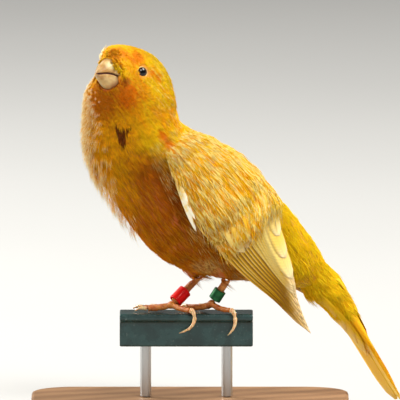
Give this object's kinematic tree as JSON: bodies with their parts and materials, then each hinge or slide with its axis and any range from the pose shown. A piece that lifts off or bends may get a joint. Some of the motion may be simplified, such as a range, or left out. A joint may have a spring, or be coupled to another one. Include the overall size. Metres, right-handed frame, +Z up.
{
  "type": "canary",
  "caption": "Life-size yellow canary standing on a short length of rim, as a still museum model on a plain display stand.",
  "frame": {"origin": "centre of the underside of the stand's base", "axes": "+Z up; the bird's body faces -Y and its left side is +X; the rim runs 20 degrees off the body's line"},
  "size_m": [0.0772, 0.1074, 0.102],
  "materials": {
    "plumage": "soft body feathers, orange yellow",
    "vanes": "flight and tail feathers with pale edges",
    "horn": "pale horn bill",
    "eye": "wet dark brown eye",
    "leg_skin": "scaled orange pink skin",
    "claw": "translucent horn claws",
    "ring_red": "smooth red leg ring",
    "ring_green": "anodised green leg ring",
    "rim": "dark teal moulded plastic with fine scratches",
    "stand_wood": "plain pale wood, satin",
    "stand_steel": "brushed"
  },
  "bodies": {
    "root": {"head": "plumage", "neck": "plumage", "torso": "plumage", "rump": "plumage", "tail": "vanes", "wing_left": "vanes", "wing_right": "vanes", "thigh_left": "plumage", "thigh_right": "plumage", "bill_upper": "horn", "bill_lower": "horn", "eye_left": "eye", "eye_right": "eye", "tarsus_left": "leg_skin", "tarsus_right": "leg_skin", "foot_left": "leg_skin", "foot_right": "leg_skin", "claw_middle_left": "claw", "claw_inner_left": "claw", "claw_outer_left": "claw", "claw_hind_left": "claw", "claw_middle_right": "claw", "claw_inner_right": "claw", "claw_outer_right": "claw", "claw_hind_right": "claw", "ring_red": "ring_red", "ring_green": "ring_green", "perch_rim": "rim", "stand_base": "stand_wood", "stand_rod_front": "stand_steel", "stand_rod_back": "stand_steel"}
  },
  "joints": []
}
